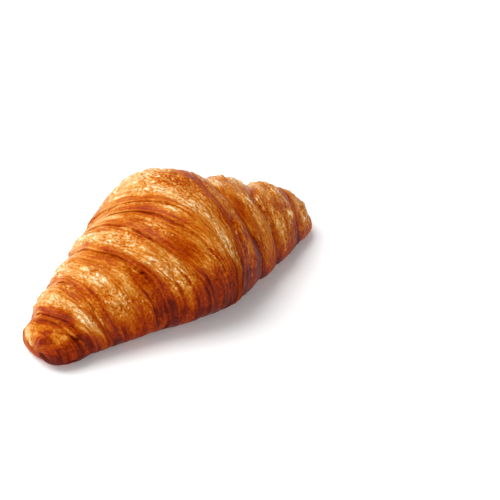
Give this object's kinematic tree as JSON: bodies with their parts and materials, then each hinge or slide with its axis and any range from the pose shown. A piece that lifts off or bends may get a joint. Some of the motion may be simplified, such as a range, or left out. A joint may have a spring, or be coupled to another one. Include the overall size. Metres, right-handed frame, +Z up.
{
  "type": "croissant",
  "caption": "Whole baked butter croissant: rolled, layered dough, stout in the middle and tapering to two blunt ends, with a flat base to rest on.",
  "frame": {"origin": "middle of the base of the bounding box, on the surface that the croissant rests on", "axes": "+X along the length, +Z up, +Y across; the end with more turns of dough visible is at -X"},
  "size_m": [0.172, 0.0866, 0.0629],
  "materials": {
    "crust": "satin, egg washed golden brown crust, darker on the edges of the dough"
  },
  "bodies": {
    "root": {"croissant": "crust"}
  },
  "joints": []
}
